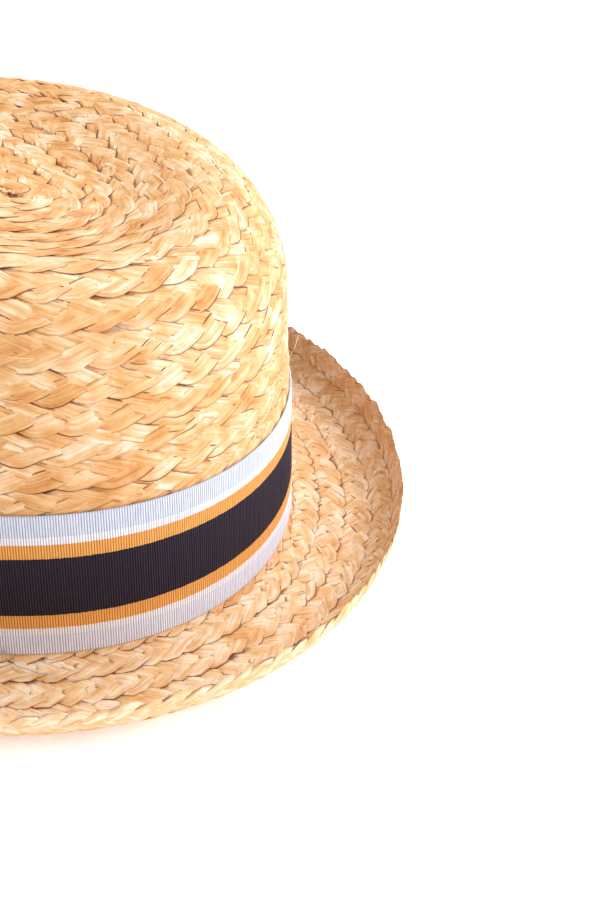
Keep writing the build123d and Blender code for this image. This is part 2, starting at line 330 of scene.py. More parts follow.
length = np.arange(0, fine_length[-1], STEP)
turn = np.interp(length, fine_length, fine_turn)
run = np.interp(length, fine_length, fine_run)
centre = surface(turn + 0.25, run)
ahead = unit(surface(turn + 0.25 + 0.0006, run) - surface(turn + 0.25 - 0.0006, run))
outward = surface(turn + 0.25, run + 0.7) - surface(turn + 0.25, run - 0.7)
normal = unit(np.cross(outward, ahead))
across = np.cross(ahead, normal)
turn_length = np.linalg.norm(surface(turn + 0.252, run) - surface(turn + 0.248, run), axis=1) / 0.004
follow = smoothstep((run - 9) / 6)             # from here on a strand keeps to the curved surface

tooth = np.interp(run, [0, 50, RUN_BRIM - 50, RUN_BRIM - 20, RUN_BRIM], [7.6, 8.4, 9.0, 8.4, 5.4])
on_brim = smoothstep((run - RUN_BRIM + 2) / 6)
phase = np.cumsum(STEP * 2 * math.pi / (3 * tooth * (1 + 0.14 * slow_noise(length, 32))))

# ==== one strand's cross-section ============================================================
TOP = np.array([-1.0, -0.8, -0.52, -0.26, 0.0, 0.26, 0.52, 0.8, 1.0])
BOTTOM = np.array([0.7, 0.0, -0.7])


calm = 0.4 + 0.4 * smoothstep((run - 65) / 45) - 0.3 * smoothstep((run - RUN_END + 12) / 6)
swing = SWING * (1 - 0.2 * smoothstep((run - RUN_END + 12) / 6))


def strand(number):
    """Cross-section points of one of the plait's three strands, all along it."""
    angle = phase + number * 2 * math.pi / 3
    drift = 0.25 * slow_noise(length, 17) + 0.33 * slow_noise(length, 6)
    middle = -swing * (np.cos(angle) + 0.11 * np.cos(3 * angle) + 0.03 * np.cos(5 * angle)) + drift
    slope = np.gradient(middle, STEP)
    level = LIFT * np.sin(2 * angle) + 0.08 * slow_noise(length, 7)
    width = STRAND_WIDTH / 2 * (1 + 0.1 * slow_noise(length, 23) + 0.16 * slow_noise(length, 5))
    level = level * calm
    roll = calm * (-0.07 * np.sin(angle) + 0.08 * slow_noise(length, 6))
    lean = np.arctan(slope)
    ridge_phase = 2.2 * slow_noise(length, 26)
    ridge_size = 0.03 + 0.05 * slow_noise(length, 11)
    relief = STRAND_DOME * (1 - np.abs(TOP) ** 2.3)
    relief = relief + ridge_size[:, None] * np.cos(4.6 * TOP + ridge_phase[:, None]) * (1 - TOP**6)
    crumple = np.stack([slow_noise(length, 3.5) for _ in TOP], 1)
    relief = relief + 0.11 * (crumple + np.roll(crumple, 1, 1)) * (1 - TOP**6)
    top = STRAND_THICKNESS / 2 + relief * (0.4 + 0.6 * calm * (1 - 0.5 * on_brim))[:, None]
    bottom = -STRAND_THICKNESS / 2 - 0.16 * (1 - np.abs(BOTTOM) ** 2)
    bottom = np.broadcast_to(bottom, (len(length), len(BOTTOM)))
    place = np.concatenate([TOP, BOTTOM])
    side = width[:, None] * place
    rise = np.concatenate([top, bottom], 1) + roll[:, None] * side + level[:, None]
    over = middle[:, None] + side * np.cos(lean)[:, None]
    back = -side * np.sin(lean)[:, None]
    rise = rise + ROW_TILT * calm[:, None] * over
    flat = (
        centre[:, None]
        + ahead[:, None] * back[..., None]
        + across[:, None] * over[..., None]
        + normal[:, None] * rise[..., None]
    )
    curved_turn = (turn + 0.25)[:, None] + back / turn_length[:, None]
    curved_run = run[:, None] + over
    lift = sample(GRID_NORMALS, curved_turn, curved_run) * rise[..., None]
    curved = surface(curved_turn, curved_run) + lift
    points = flat + (curved - flat) * follow[:, None, None]
    piece = np.floor((angle + 0.4) / math.pi).astype(int)
    shades = rng.uniform(0, 1, piece.max() + 2)
    tint = 0.6 * shades[piece] + 0.4 * (0.5 + 0.5 * slow_noise(length, 160))
    tint = tint * (1 - 0.6 * on_brim) + 0.65 * on_brim
    fibre = np.stack(
        [
            np.broadcast_to(length[:, None], side.shape),
            side,
            np.broadcast_to((piece * 0.37 + number * 11.0)[:, None], side.shape),
        ],
        2,
    )
    border = np.abs(place) * np.ones((len(length), 1))
    # Painted shade along strand edges, strong in some stretches and faint in others, stored in the "shadow"
    # attribute.
    painted_edge_shade = np.where(place < 0, slow_noise(length, 4.5)[:, None], slow_noise(length, 4.5)[:, None])
    often = np.interp(run, [0, 60, 95, RUN_BRIM - 20, RUN_BRIM, RUN_END], [-0.1, -0.1, 0.1, 0.1, -0.2, 0.1])
    painted_edge_shade = 0.1 + 0.9 * smoothstep((painted_edge_shade - often[:, None]) / 0.4)
    outer_part = smoothstep((np.abs(over) - 2.4) / 1.0)
    painted_edge_shade = painted_edge_shade * (1 - on_brim[:, None] * (0.75 - 0.75 * outer_part))
    under = np.clip(0.5 - level / LIFT / 2, 0, 1)[:, None]
    shadow = painted_edge_shade * smoothstep((border - 0.86) / 0.1)
    # Painted shade on strands where they dip under a crossing strand.
    shadow = shadow + (0.3 - 0.12 * on_brim[:, None]) * smoothstep((under - 0.5) / 0.5)
    # Painted shade along the seams between rows, stronger on the crown top and the brim.
    seam_places = [0, 60, 90, RUN_BRIM - 12, RUN_BRIM, RUN_CURL, RUN_END]
    seam_shade = np.interp(run, seam_places, [1, 1, 0.4, 0.4, 1.1, 1.1, 0.5])
    seam_shade = seam_shade * (0.6 + 0.4 * slow_noise(length, 24))
    # Painted shade: dark in the notches of the lower row between the teeth, and a thin line under the upper
    # row's edge.
    notch = np.where(over < 0, smoothstep((-over - 2.5) / 0.9), 0.5 * smoothstep((over - 4.2) / 0.6))
    shadow = shadow + seam_shade[:, None] * notch
    return points, fibre, np.broadcast_to(tint[:, None], side.shape), np.clip(shadow, 0, 1)


# ==== materials =============================================================================
def linear(code):
    """A colour from its usual six-figure code, as the shader wants it."""
    values = [int(code[i : i + 2], 16) / 255 for i in (0, 2, 4)]
    return tuple(v / 12.92 if v <= 0.04045 else ((v + 0.055) / 1.055) ** 2.4 for v in values) + (1,)


class Look:
    """A node material with its Principled shader, and short ways to add nodes to it."""

    def __init__(self, name, roughness, **constants):
        self.material = bpy.data.materials.new(name)
        self.material.use_nodes = True
        self.nodes = self.material.node_tree.nodes
        self.links = self.material.node_tree.links
        self.shader = self.nodes["Principled BSDF"]
        self.shader.inputs["Roughness"].default_value = roughness
        for key, value in constants.items():
            self.shader.inputs[key.replace("_", " ")].default_value = value

    def attribute(self, name, output="Vector"):
        node = self.nodes.new("ShaderNodeAttribute")
        node.attribute_name = name
        return node.outputs[output]

    def stretched(self, vector, scale):
        node = self.nodes.new("ShaderNodeMapping")
        node.inputs["Scale"].default_value = scale
        self.links.new(vector, node.inputs["Vector"])
        return node.outputs["Vector"]

    def noise(self, vector, scale, detail=3.0, roughness=0.55):
        node = self.nodes.new("ShaderNodeTexNoise")
        node.inputs["Scale"].default_value = scale
        node.inputs["Detail"].default_value = detail
        node.inputs["Roughness"].default_value = roughness
        self.links.new(vector, node.inputs["Vector"])
        return node.outputs["Fac"]

    def maths(self, operation, first, second):
        node = self.nodes.new("ShaderNodeMath")
        node.operation = operation
        for socket, value in zip(node.inputs, (first, second)):
            if isinstance(value, (int, float)):
                socket.default_value = value
            else:
                self.links.new(value, socket)
        return node.outputs[0]

    def ramp(self, value, stops, interpolation="LINEAR"):
        node = self.nodes.new("ShaderNodeValToRGB")
        node.color_ramp.interpolation = interpolation
        elements = node.color_ramp.elements
        while len(elements) < len(stops):
            elements.new(0.5)
        for element, (position, colour) in zip(elements, stops):
            element.position = position
            element.color = colour
        self.links.new(value, node.inputs["Fac"])
        return node.outputs["Color"]

    def mix(self, kind, amount, first, second):
        node = self.nodes.new("ShaderNodeMix")
        node.data_type = "RGBA"
        node.blend_type = kind
        for socket, value in zip((node.inputs[0], node.inputs[6], node.inputs[7]), (amount, first, second)):
            if isinstance(value, (int, float, tuple)):
                socket.default_value = value
            else:
                self.links.new(value, socket)
        return node.outputs[2]

    def spread(self, value, low, high):
        """A 0 to 1 value spread from low to high."""
        node = self.nodes.new("ShaderNodeMapRange")
        node.inputs["To Min"].default_value = low
        node.inputs["To Max"].default_value = high
        self.links.new(value, node.inputs["Value"])
        return node.outputs[0]

    def bump(self, height, strength, distance):
        node = self.nodes.new("ShaderNodeBump")
        node.inputs["Strength"].default_value = strength
        node.inputs["Distance"].default_value = distance
        self.links.new(height, node.inputs["Height"])
        self.links.new(node.outputs["Normal"], self.shader.inputs["Normal"])

    def place(self):
        return self.nodes.new("ShaderNodeTexCoord").outputs["Object"]

    def set(self, socket, value):
        self.links.new(value, self.shader.inputs[socket])


def straw_look():
    """Natural raffia: soft streaks along each strand, strands of different shades, and painted shade from the
    "shadow" attribute at strand edges, under crossings and along row seams.
    """
    look = Look("natural_raffia", 0.6, IOR=1.3)
    fibre = look.attribute("fibre")
    streaks = look.noise(look.stretched(fibre, (0.07, 0.75, 1.0)), 1.0, 4.0, 0.6)
    lines = look.noise(look.stretched(fibre, (0.08, 2.6, 1.0)), 1.0, 3.0, 0.6)
    patches = look.noise(look.place(), 170.0, 3.0)
    tint = look.attribute("tint", "Fac")
    value = look.maths("ADD", look.maths("MULTIPLY", streaks, 0.75), look.maths("MULTIPLY", tint, 0.24))
    value = look.maths("ADD", value, look.maths("MULTIPLY", patches, 0.6))
    colour = look.ramp(
        value,
        [
            (0.54, linear("C58447")),
            (0.70, linear("DEA466")),
            (0.86, linear("ECC08E")),
            (1.02, linear("F8DFC0")),
        ],
    )
    fine = look.ramp(lines, [(0.30, linear("D2A87A")), (0.50, linear("FFFFFF"))])
    colour = look.mix("MULTIPLY", 0.5, colour, fine)
    splits = look.noise(look.stretched(fibre, (0.13, 1.7, 1.0)), 1.0, 2.0)
    splits = look.ramp(splits, [(0.27, linear("8E5B2C")), (0.31, linear("FFFFFF"))])
    colour = look.mix("MULTIPLY", 0.75, colour, splits)
    # Painted shade: the "shadow" attribute darkens the straw towards brown.
    painted_shade = look.ramp(look.attribute("shadow", "Fac"), [(0.25, linear("FFFFFF")), (0.9, linear("7E430F"))])
    colour = look.mix("MULTIPLY", 0.9, colour, painted_shade)
    look.set("Base Color", colour)
    look.set("Roughness", look.spread(lines, 0.5, 0.75))
    look.bump(lines, 0.35, 0.0003)
    return look.material


RIBBON_STRIPES = [
    # The lowest pale stripe is lighter than the top one: painted light against the shade along the ribbon's
    # lower edge.
    (0.0, "EEF3FF"),
    (0.145, "FDFDFF"),
    (0.197, "F8AE52"),
    (0.294, "0E0818"),
    (0.706, "FAAE52"),
    (0.803, "FDFDFF"),
    (0.855, "E2E8F4"),
]


def ribbon_look():
    """Striped grosgrain: colours by place across the ribbon, with each rib slightly different, painted shade
    in the rib valleys and a painted highlight on the rib crowns.
    """
    look = Look("striped_grosgrain", 0.7, IOR=1.3)
    weave = look.attribute("weave")
    stripe = look.attribute("stripe", "Fac")
    colour = look.ramp(stripe, [(p, linear(c)) for p, c in RIBBON_STRIPES], "CONSTANT")
    ribs = look.noise(look.stretched(weave, (0.9, 0.25, 1.0)), 1.0, 2.0)
    warp = look.noise(look.stretched(weave, (0.6, 9.0, 1.0)), 1.0, 2.0)
    shade = look.ramp(ribs, [(0.3, linear("E6E6E6")), (0.7, linear("FFFFFF"))])
    colour = look.mix("MULTIPLY", 0.6, colour, shade)
    threads = look.ramp(warp, [(0.3, linear("DADADA")), (0.6, linear("FFFFFF"))])
    colour = look.mix("MULTIPLY", 0.4, colour, threads)
    # Painted shade in the valleys between ribs.
    painted_valley_shade = look.ramp(look.attribute("rib", "Fac"), [(0.1, linear("A8A4B2")), (0.75, linear("FFFFFF"))])
    colour = look.mix("MULTIPLY", 1.0, colour, painted_valley_shade)
    # Painted highlight along the crown of each rib.
    painted_rib_highlight = look.ramp(look.attribute("rib", "Fac"), [(0.7, (0, 0, 0, 1)), (1.0, (0.045, 0.034, 0.060, 1))])
    colour = look.mix("ADD", 1.0, colour, painted_rib_highlight)
    look.set("Base Color", colour)
    look.set("Roughness", look.spread(warp, 0.45, 0.7))
    look.bump(warp, 0.4, 0.0002)
    look.shader.inputs["Sheen Weight"].default_value = 0.02
    look.shader.inputs["Sheen Roughness"].default_value = 0.4
    return look.material


def cloth_look(name, dark, light, sheen):
    """Plain ribbed cotton, lighter on its ribs and slightly uneven."""
    look = Look(name, 0.8, IOR=1.45)
    weave = look.attribute("weave")
    slubs = look.noise(look.stretched(weave, (0.5, 3.0, 1.0)), 1.0, 3.0)
    stains = look.noise(look.place(), 35.0, 3.0)
    value = look.maths("ADD", look.maths("MULTIPLY", slubs, 0.6), look.maths("MULTIPLY", stains, 0.4))
    look.set("Base Color", look.ramp(value, [(0.3, linear(dark)), (0.7, linear(light))]))
    look.set("Roughness", look.spread(slubs, 0.7, 0.9))
    look.bump(slubs, 0.4, 0.0002)
    look.shader.inputs["Sheen Weight"].default_value = sheen
    return look.material


def thread_look(name, dark, light, roughness):
    """Twisted sewing thread: fine turns of light and dark along it."""
    look = Look(name, roughness, IOR=1.45)
    turns = look.noise(look.place(), 2600.0, 2.0)
    look.set("Base Color", look.ramp(turns, [(0.35, linear(dark)), (0.65, linear(light))]))
    look.set("Roughness", look.spread(turns, roughness, roughness + 0.2))
    look.bump(turns, 0.3, 0.0001)
    return look.material


def wire_look():
    """Hat wire wrapped in straw-coloured cotton: fine windings, slightly uneven in shade."""
    look = Look("cotton_wrapped_wire", 0.75, IOR=1.45)
    windings = look.noise(look.place(), 1400.0, 3.0)
    look.set("Base Color", look.ramp(windings, [(0.3, linear("C79A68")), (0.7, linear("E2BC8C"))]))
    look.set("Roughness", look.spread(windings, 0.65, 0.85))
    look.bump(windings, 0.3, 0.00008)
    return look.material


def floor_look():
    """Matt white studio board."""
    look = Look("white_board", 0.9, IOR=1.3)
    grain = look.noise(look.place(), 220.0, 3.0)
    look.set("Base Color", look.ramp(grain, [(0.0, linear("FAFAFA")), (1.0, linear("FFFFFF"))]))
    look.shader.inputs["Emission Color"].default_value = (1, 0.97, 0.94, 1)
    look.shader.inputs["Emission Strength"].default_value = 0.3
    return look.material


straw_material = straw_look()
ribbon_material = ribbon_look()
sweatband_material = cloth_look("ribbed_cotton", "D8CDB8", "F0E8D8", 0.3)
tape_material = cloth_look("cotton_tape", "CBBFA8", "E4DAC4", 0.2)
thread_material = thread_look("cotton_thread", "CDB68C", "EFE0BE", 0.6)
tack_material = thread_look("grey_thread", "8A8698", "BEBACC", 0.35)
wire_material = wire_look()

# ==== the braid, one piece for each turn ====================================================
SECTION = len(TOP) + len(BOTTOM)
strands = [strand(number) for number in range(3)]


def braid_piece(name, first_turn, last_turn, node):
    """The stretch of plait between two turns, as one piece that stands for a CAD course."""
    start = int(np.searchsorted(turn, first_turn))
    stop = min(int(np.searchsorted(turn, last_turn)) + 1, len(turn))
    points, fibre, tint, shadow, quads, caps, base = [], [], [], [], [], [], 0
    rows = np.arange(stop - start - 1)
    for strand_points, strand_fibre, strand_tint, strand_shadow in strands:
        points.append(strand_points[start:stop].reshape(-1, 3))
        fibre.append(strand_fibre[start:stop].reshape(-1, 3))
        tint.append(strand_tint[start:stop].ravel())
        shadow.append(strand_shadow[start:stop].ravel())
        for k in range(SECTION):
            a, b = rows * SECTION + k, rows * SECTION + (k + 1) % SECTION
            quads.append(base + np.stack([a, a + SECTION, b + SECTION, b], 1))
        if start == 0:
            caps.append(base + np.arange(SECTION))
        if stop == len(turn):
            caps.append(base + (stop - start - 1) * SECTION + np.arange(SECTION)[::-1])
        base += (stop - start) * SECTION
    piece = make_mesh(
        name,
        np.concatenate(points),
        np.concatenate(quads),
        {
            "fibre": np.concatenate(fibre),
            "tint": np.concatenate(tint),
            "shadow": np.concatenate(shadow),
        },
        caps,
    )
    return finish_piece(piece, straw_material, "straw", node)


courses = [("tip_start_coil", -0.5, 1)]
courses += [(f"tip_course_{7 - i}", i, i + 1) for i in range(1, 7)]
courses += [("shoulder_course_upper", 7, 9), ("shoulder_course_lower", 9, 10)]
courses += [(f"side_course_{10 - i:02d}", 10 + i, 11 + i) for i in range(10)]
courses += [(f"brim_course_{i + 1}", 20 + i, 21 + i) for i in range(4)]
courses += [("rim_course", 24, LAST_TURN)]
for node, first_turn, last_turn in courses:
    braid_piece(f"braid_{node}", first_turn, last_turn, node)


# ==== loose ends of raffia ==================================================================
def loose_ends(count):
    """Short fibres that have worked out of the plait, mostly lying along it."""
    runs = []
    in_view = (run > 6) & ((centre[:, 2] > ribbon_high[2] + 3) | (run > RUN_BRIM + 6))
    outside = np.flatnonzero(in_view)
    for index in rng.choice(outside, count, replace=False):
        place = centre[index] + across[index] * rng.uniform(-4, 4) + normal[index] * 0.5
        reach = rng.uniform(3, 9) if rng.random() < 0.85 else rng.uniform(9, 15)
        way = ahead[index] * rng.choice([-1, 1]) + across[index] * rng.uniform(-0.9, 0.9)
        way /= np.linalg.norm(way)
        height = rng.uniform(0.6, 2.2)
        sideways = np.cross(way, normal[index]) * rng.uniform(-0.25, 0.25) * reach
        steps = np.linspace(0, 1, 7)[:, None]
        runs.append(
            place
            + way * reach * steps
            + normal[index] * height * np.sin(steps * rng.uniform(1.6, 2.8))
            + sideways * steps**2
        )
    return runs


points, quads = tubes(loose_ends(240), 0.06, 4)
fibres = make_mesh(
    "loose_fibres", points, quads, {"fibre": points * 0.3, "tint": np.full(len(points), 0.9)}
)
finish_piece(fibres, straw_material, "straw")


# ==== ribbed cloth: ribbon, bow and sweatband ===============================================
RIB_PITCH = 0.62
RIB_STEPS = 4


def wall_point(angle, z, face):
    """Point that stands face outside the crown wall, at an eccentric angle and a height."""
    lean = WALL_TAPER * (z - WALL_FOOT) / (WALL_TOP - WALL_FOOT)
    x = (HALF_WIDTH - lean + face) * np.cos(angle)
    y = (HALF_LENGTH - lean + face) * np.sin(angle)
    return np.stack(np.broadcast_arrays(x, y, z), -1)


def even_angles(count, first=0.0, last=2 * math.pi):
    """Eccentric angles of points spaced evenly along the crown's oval."""
    fine = np.linspace(first, last, 4001)
    line = wall_point(fine, np.full(4001, WALL_FOOT + 20.0), 1.0)
    covered = np.concatenate([[0], np.cumsum(np.linalg.norm(np.diff(line, axis=0), axis=1))])
    return np.interp(np.linspace(0, covered[-1], count), covered, fine), covered[-1]


def ribbed_sheet(name, middle, stripe, thickness, rib_height, closed, flip=False):
    """A woven strip with a rib every RIB_STEPS columns, given its middle surface as a grid."""
    columns, rows = middle.shape[:2]
    if closed:
        along = np.roll(middle, -1, 0) - np.roll(middle, 1, 0)
    else:
        along = np.gradient(middle, axis=0)
    outward = unit(np.cross(along, np.gradient(middle, axis=1)))
    if flip:
        outward = -outward
    beat = np.sin(math.pi * (np.arange(columns) % RIB_STEPS) / RIB_STEPS)
    uneven = np.repeat(rng.uniform(-1, 1, columns // RIB_STEPS + 1), RIB_STEPS)[:columns]
    rib = rib_height * beat * (1 + 0.25 * uneven)
    face = middle + outward * (thickness / 2 - rib_height + rib)[:, None, None]
    back = middle - outward * (thickness / 2 - rib_height + rib)[:, None, None]
    points = np.concatenate([face.reshape(-1, 3), back.reshape(-1, 3)])
    beat = np.repeat(beat, rows)
    half = columns * rows
    c = np.arange(columns if closed else columns - 1)
    r = np.arange(rows - 1)
    c, r = [g.ravel() for g in np.meshgrid(c, r, indexing="ij")]
    after = (c + 1) % columns
    front = np.stack([c * rows + r, after * rows + r, after * rows + r + 1, c * rows + r + 1], 1)
    if flip:
        front = front[:, ::-1]
    rear = front[:, ::-1] + half
    c = np.arange(columns if closed else columns - 1)
    after = (c + 1) % columns
    low = np.stack([c * rows + half, after * rows + half, after * rows, c * rows], 1)
    top = rows - 1
    high = np.stack([c * rows + top, after * rows + top, after * rows + top + half, c * rows + top + half], 1)
    edges = [low, high]
    if not closed:
        r = np.arange(rows - 1)
        edges.append(np.stack([r, r + 1, r + 1 + half, r + half], 1))
        end = (columns - 1) * rows
        edges.append(np.stack([end + r + half, end + r + 1 + half, end + r + 1, end + r], 1))
    edges = [edge[:, ::-1] if flip else edge for edge in edges]
    width = np.linalg.norm(middle[0, -1] - middle[0, 0])
    weave = np.stack(
        [
            np.broadcast_to((np.arange(columns) / RIB_STEPS)[:, None], (columns, rows)),
            np.broadcast_to(np.linspace(0, width, rows)[None], (columns, rows)),
            np.zeros((columns, rows)),
        ],
        2,
    ).reshape(-1, 3)
    return make_mesh(
        name,
        points,
        np.concatenate([front, rear] + edges),
        {
            "weave": np.concatenate([weave, weave]),
            "stripe": np.concatenate([stripe.ravel(), stripe.ravel()]),
            "rib": np.concatenate([beat, beat]),
        },
    )


RIBBON_ROWS = np.sort(np.concatenate([np.linspace(0, 1, 13), [0.01, 0.99]]))
RIBBON_FACE = 0.55                             # middle of the ribbon, off the wall


def stripe_grid(columns, across_places):
    """Place across the ribbon for the stripes, with each rib set a little up or down."""
    ribs = np.repeat(rng.uniform(-1, 1, columns // RIB_STEPS + 1), RIB_STEPS)[:columns]
    return across_places[None] + 0.0015 * ribs[:, None]


_, ribbon_length = even_angles(2)
rib_count = int(round(ribbon_length / RIB_PITCH))
angles, _ = even_angles(rib_count * RIB_STEPS + 1)
angles = angles[:-1]
places = np.linspace(0, ribbon_length, len(angles))
edge_low = 0.25 * slow_noise(places, 45)
edge_high = 0.3 * slow_noise(places, 60)
fade = smoothstep(np.minimum(places, ribbon_length - places) / 20)
z = (
    ribbon_low[2]
    + (edge_low * fade)[:, None] * (1 - RIBBON_ROWS)
    + (edge_high * fade)[:, None] * RIBBON_ROWS
    + (ribbon_high[2] - ribbon_low[2]) * RIBBON_ROWS
)
ease = (0.06 + 0.1 * slow_noise(places, 38)) * fade
face = RIBBON_FACE + ease[:, None] * RIBBON_ROWS**2 + 0.06 * np.sin(math.pi * RIBBON_ROWS)
band = ribbed_sheet(
    "ribbon", wall_point(angles[:, None], z, face), stripe_grid(len(angles), RIBBON_ROWS), 0.6, 0.13, True
)
finish_piece(band, ribbon_material, "ribbon", "ribbon_band")


def bow_grid(path_y, path_face, narrow):
    """Grid of a bow part whose ribs stand upright: its line in plan, and the ribbon's width."""
    low, high = ribbon_low[2] + narrow, ribbon_high[2] - narrow
    z = low + (high - low) * RIBBON_ROWS
    angle = np.arcsin(path_y / (HALF_LENGTH + path_face))
    return wall_point(angle[:, None], np.broadcast_to(z, (len(path_y), len(z))), path_face[:, None])


def along_path(corners, pitch):
    """Points spaced evenly on a line through the given ones."""
    corners = np.asarray(corners, float)
    covered = np.concatenate([[0], np.cumsum(np.linalg.norm(np.diff(corners, axis=0), axis=1))])
    count = int(round(covered[-1] / pitch)) * RIB_STEPS + 1
    wanted = np.linspace(0, covered[-1], count)
    return np.stack([np.interp(wanted, covered, corners[:, i]) for i in range(2)], 1), covered[-1]


keeper_low, keeper_high = cad_box("bow_keeper")
TAIL_END = 38.0
TAIL_NOTCH = 8.0
tail_path, tail_length = along_path([(-TAIL_END, 2.0), (-10, 1.8), (10, 1.8), (TAIL_END, 2.0)], RIB_PITCH)
notch = 1 - np.abs(2 * RIBBON_ROWS - 1)
tail_y = tail_path[:, 0][:, None] * np.ones(len(RIBBON_ROWS))
share = smoothstep((np.abs(tail_y) - 20) / (TAIL_END - 20))
tail_y = tail_y - np.sign(tail_y) * share * TAIL_NOTCH * notch[None]
tail_z = ribbon_low[2] + 1 + (ribbon_high[2] - ribbon_low[2] - 2) * RIBBON_ROWS
tail_face = 1.8 + 0.5 * smoothstep((np.abs(tail_y) - 18) / 20) * (0.6 + 0.4 * RIBBON_ROWS)
tail_grid = wall_point(np.arcsin(tail_y / (HALF_LENGTH + tail_face)), tail_z[None] + 0 * tail_y, tail_face)
tails = ribbed_sheet("bow_tail_ends", tail_grid, stripe_grid(len(tail_y), RIBBON_ROWS), 0.6, 0.13, False)
finish_piece(tails, ribbon_material, "ribbon", "bow_tails")

LOOP_END = 31.0
arc = np.linspace(-math.pi / 2, math.pi / 2, 9)
loop_corners = [(0.0, 3.3), (LOOP_END - 9, 3.3)]
loop_corners += [(LOOP_END - 1.6 + 1.6 * math.cos(a), 4.75 + 1.6 * math.sin(a)) for a in arc]
loop_corners += [(14.0, 6.1), (7.5, 5.6), (0.0, 5.5)]
mirrored = [(-y, face) for y, face in loop_corners[::-1]]
loop_path, loop_length = along_path(loop_corners + mirrored[1:], RIB_PITCH)
loop_path = loop_path[:-1]
loops = ribbed_sheet(
    "bow_loop_pair",
    bow_grid(loop_path[:, 0], loop_path[:, 1], 1.0),
    stripe_grid(len(loop_path), RIBBON_ROWS),
    0.6,
    0.13,
    True,
)
finish_piece(loops, ribbon_material, "ribbon", "bow_loops")

KEEPER_HALF = 6.5
KEEPER_ROWS = np.linspace(-1, 1, 11)
low_z, high_z = keeper_low[2] + 0.3, keeper_high[2] - 0.3
keeper_corners = [(low_z + 1.2, 2.6), (high_z - 1.2, 2.6), (high_z - 0.3, 3.2), (high_z, 4.5)]
keeper_corners += [(high_z - 0.3, 5.8), (high_z - 1.5, 6.4), (low_z + 1.5, 6.4), (low_z + 0.3, 5.8)]
keeper_corners += [(low_z, 4.5), (low_z + 0.3, 3.2), (low_z + 1.2, 2.6)]
keeper_path, keeper_length = along_path(keeper_corners, RIB_PITCH)
keeper_path = keeper_path[:-1]
keeper_y = KEEPER_HALF * KEEPER_ROWS * (1 - 0.04 * np.cos(6 * keeper_path[:, :1]))
keeper_face = keeper_path[:, 1:] + 0.25 * (1 - KEEPER_ROWS**2) * np.sign(keeper_path[:, 1:] - 4.5)
keeper_z = np.broadcast_to(keeper_path[:, :1], keeper_y.shape)
keeper_grid = wall_point(np.arcsin(keeper_y / (HALF_LENGTH + keeper_face)), keeper_z, keeper_face)
keeper_stripe = 0.5 + 0.19 * np.broadcast_to(KEEPER_ROWS, keeper_y.shape)
keeper = ribbed_sheet("bow_knot", keeper_grid, keeper_stripe, 0.6, 0.13, True)
finish_piece(keeper, ribbon_material, "ribbon", "bow_keeper")

# ---- sweatband ----
BAND_FACE = -(STRAW + 0.3 + 0.45)
band_rows = np.sort(np.concatenate([np.linspace(0, 1, 11), [0.015, 0.985]]))
angles, _ = even_angles(int(round(ribbon_length / 1.15)) * RIB_STEPS + 1)
angles = angles[:-1]
places = np.linspace(0, ribbon_length, len(angles))
band_z = band_low[2] + (band_high[2] - band_low[2]) * band_rows
band_z = band_z + 0.35 * slow_noise(places, 50)[:, None] * band_rows
band_face = BAND_FACE - (0.5 + 0.45 * slow_noise(places, 30))[:, None] * band_rows**2
sweat = ribbed_sheet(
    "sweatband_ring",
    wall_point(angles[:, None], band_z, band_face),
    np.zeros((len(angles), len(band_rows))),
    0.8,
    0.1,
    True,
    flip=True,
)
finish_piece(sweat, sweatband_material, "sweatband", "sweatband")

TAPE_HALF = 8.0
tape_angle = math.asin(TAPE_HALF / (HALF_WIDTH - 4))
tape_angles, _ = even_angles(14 * RIB_STEPS + 1, math.pi / 2 - tape_angle, math.pi / 2 + tape_angle)
tape_face = BAND_FACE - 0.9 - 0.5 * band_rows**2
tape_z = band_low[2] + (band_high[2] - band_low[2]) * band_rows
tape = ribbed_sheet(
    "sweatband_tape",
    wall_point(tape_angles[:, None], tape_z[None] + 0 * tape_angles[:, None], tape_face[None]),
    np.zeros((len(tape_angles), len(band_rows))),
    0.6,
    0.06,
    False,
    flip=True,
)
finish_piece(tape, tape_material, "sweatband", "sweatband_join_tape")


# ==== threads ===============================================================================
def stitch(first, last, away, height):
    """One stitch: a short thread that dips into the cloth at both ends."""
    steps = np.linspace(0, 1, 7)[:, None]
    return first + (last - first) * steps + away * (height * np.sin(math.pi * steps) - 0.15)


def wall_stitches(z, face, spacing, size, slant, skip_tape):
    """A row of stitches round the inside of the crown."""
    count = int(round(ribbon_length / spacing))
    angles, _ = even_angles(count + 1)
    made = []
    for angle in angles[:-1]:
        half = size / 2 / (HALF_LENGTH + face)
        first = wall_point(angle - half, z - slant / 2, face)
        last = wall_point(angle + half, z + slant / 2, face)
        if skip_tape and abs(first[0]) < TAPE_HALF + 5 and first[1] > 0:
            continue
        away = unit(np.array([-math.cos(angle) * HALF_LENGTH, -math.sin(angle) * HALF_WIDTH, 0.0]))
        made.append(stitch(first, last, away, 0.3))
    return made


stitch_z = band_low[2] + 2.3
points, quads = tubes(wall_stitches(stitch_z, BAND_FACE - 0.45, 9.6, 5.0, 0.5, True), 0.27)
sewing = make_mesh("sweatband_sewing", points, quads)
finish_piece(sewing, thread_material, "thread", "sweatband_stitches")

seam_runs = []
for row_run in crown_rows:
    seam_z = float(np.interp(row_run + BRAID_HALF - 1.2, RUN, HEIGHT))
    if band_high[2] + 2 < seam_z < WALL_TOP:
        seam_runs += wall_stitches(seam_z, -1.75, 6.5, 4.6, 0.9, False)
points, quads = tubes(seam_runs, 0.17, 5)
seams = make_mesh("crown_seam_sewing", points, quads)
finish_piece(seams, thread_material, "thread", "seam_thread")

